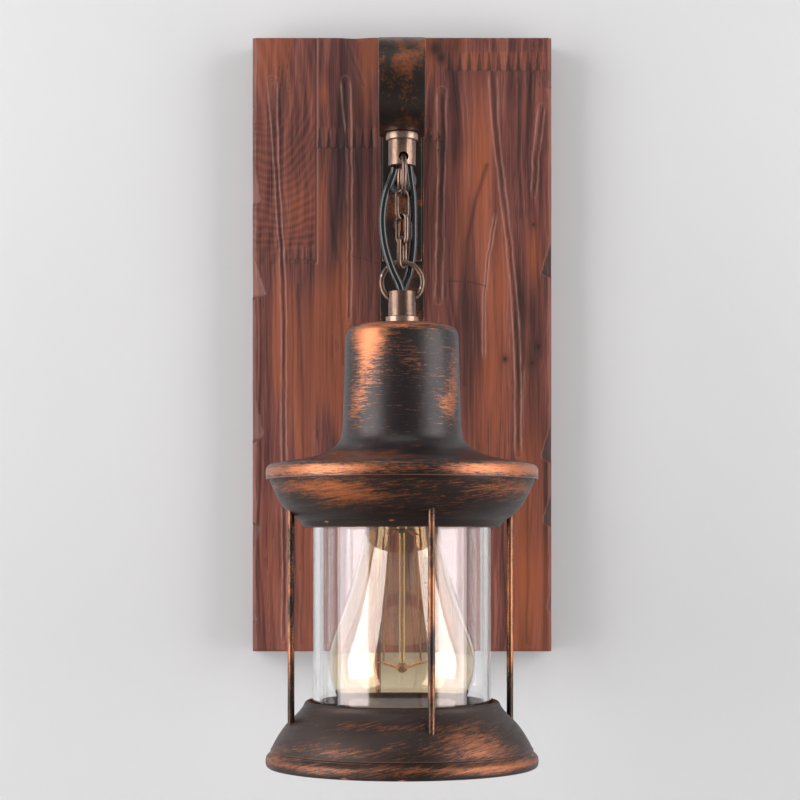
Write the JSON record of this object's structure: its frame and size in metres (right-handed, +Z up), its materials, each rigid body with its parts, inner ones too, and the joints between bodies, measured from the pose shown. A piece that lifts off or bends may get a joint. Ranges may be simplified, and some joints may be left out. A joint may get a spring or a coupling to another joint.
{
  "type": "wall sconce lantern",
  "caption": "Wall sconce: glass cylinder lantern with long filament bulb, hung by a short chain from a flat-iron hook arm on a carved wooden back board.",
  "frame": {"origin": "centre of the back board's rear face, on the wall plane", "axes": "+Z up, +Y into the wall, +X to the right seen from the room; the front faces -Y"},
  "size_m": [0.15, 0.2095, 0.351],
  "materials": {
    "wood": "brown stained, wire brushed, satin",
    "wrought_iron": "aged black brown with copper rub-through, satin",
    "antique_copper": "aged black brown over copper, dry-brushed, satin",
    "antique_bronze": "antique bronze, satin",
    "plate_steel": "zinc plated",
    "grommet_rubber": "matt black",
    "gasket_rubber": "silicone",
    "wire_black": "gloss black sleeve",
    "terminal_plastic": "natural nylon",
    "clear_glass": "clear, polished",
    "bulb_amber_glass": "amber tinted, polished",
    "bulb_stem_glass": "clear",
    "nickel": "nickel plated",
    "brass_contact": "bright",
    "black_phenolic": "moulded phenolic",
    "ceramic": "glazed porcelain",
    "filament": "carbon",
    "copper_wire": "copper"
  },
  "bodies": {
    "bracket": {"backboard": "wood", "wall_plate": "plate_steel", "back_strap": "wrought_iron", "hook_arm": "wrought_iron", "fixing_screws": "wrought_iron", "cable_grommet": "grommet_rubber", "upper_ferrule": "antique_bronze", "upper_nipple": "plate_steel", "upper_washer": "plate_steel", "upper_nut": "antique_bronze", "feed_wires": "wire_black", "hanging_wire_left": "wire_black", "hanging_wire_right": "wire_black", "terminal_block": "terminal_plastic", "terminal_screws": "brass_contact"},
    "upper_ring": {"upper_ring": "antique_bronze"},
    "link_1": {"chain_link_1": "antique_bronze"},
    "link_2": {"chain_link_2": "antique_bronze"},
    "link_3": {"chain_link_3": "antique_bronze"},
    "lower_ring": {"lower_ring": "antique_bronze"},
    "lantern": {"lamp_wires": "wire_black", "lower_ferrule": "antique_bronze", "lower_nipple": "plate_steel", "lower_nut": "plate_steel", "crown": "antique_copper", "rim_bowl": "antique_copper", "glass_stop_ring": "antique_copper", "upper_gasket": "gasket_rubber", "glass_cylinder": "clear_glass", "lower_gasket": "gasket_rubber", "cage_rod_front": "antique_copper", "cage_rod_right": "antique_copper", "cage_rod_rear": "antique_copper", "cage_rod_left": "antique_copper", "upper_rod_nuts": "plate_steel", "lower_rod_nuts": "antique_copper", "base_ring": "antique_copper", "lampholder_cap": "black_phenolic", "lampholder_body": "black_phenolic", "lampholder_insulator": "ceramic", "lampholder_thread": "brass_contact", "lampholder_contact": "brass_contact", "lampholder_screws": "brass_contact"},
    "bulb": {"bulb_glass": "bulb_amber_glass", "bulb_cap": "nickel", "bulb_cap_insulator": "black_phenolic", "bulb_tip_contact": "brass_contact", "bulb_stem": "bulb_stem_glass", "filament_supports": "copper_wire", "bulb_filament": "filament", "bulb_lead_wires": "copper_wire"}
  },
  "joints": [
    {"name": "upper_ring_swing", "type": "hinge", "parent": "bracket", "child": "upper_ring", "pos_m": [0, -0.15, 0.06797], "axis": [-0.1219, 0.9925, 0], "range_deg": [-6, 6], "deforming": ["hanging_wire_left", "hanging_wire_right"]},
    {"name": "link_1_swing", "type": "hinge", "parent": "upper_ring", "child": "link_1", "pos_m": [0, -0.15, 0.0521], "axis": [-0.1219, 0.9925, 0], "range_deg": [-5, 5]},
    {"name": "link_2_swing", "type": "hinge", "parent": "link_1", "child": "link_2", "pos_m": [0, -0.15, 0.04171], "axis": [0.8192, 0.5736, 0], "range_deg": [-5, 5]},
    {"name": "link_3_swing", "type": "hinge", "parent": "link_2", "child": "link_3", "pos_m": [0, -0.15, 0.03117], "axis": [0.7071, -0.7071, 0], "range_deg": [-5, 5]},
    {"name": "lower_ring_swing", "type": "hinge", "parent": "link_3", "child": "lower_ring", "pos_m": [0, -0.15, 0.02065], "axis": [0.4695, 0.8829, 0], "range_deg": [-5, 5]},
    {"name": "lantern_swing", "type": "hinge", "parent": "lower_ring", "child": "lantern", "pos_m": [0, -0.15, 0.007], "axis": [1, 0, 0], "range_deg": [-10, 4]},
    {"name": "bulb_withdraw", "type": "slide", "parent": "lantern", "child": "bulb", "axis": [0, 0, -1], "range_m": [0, 0.165]}
  ]
}
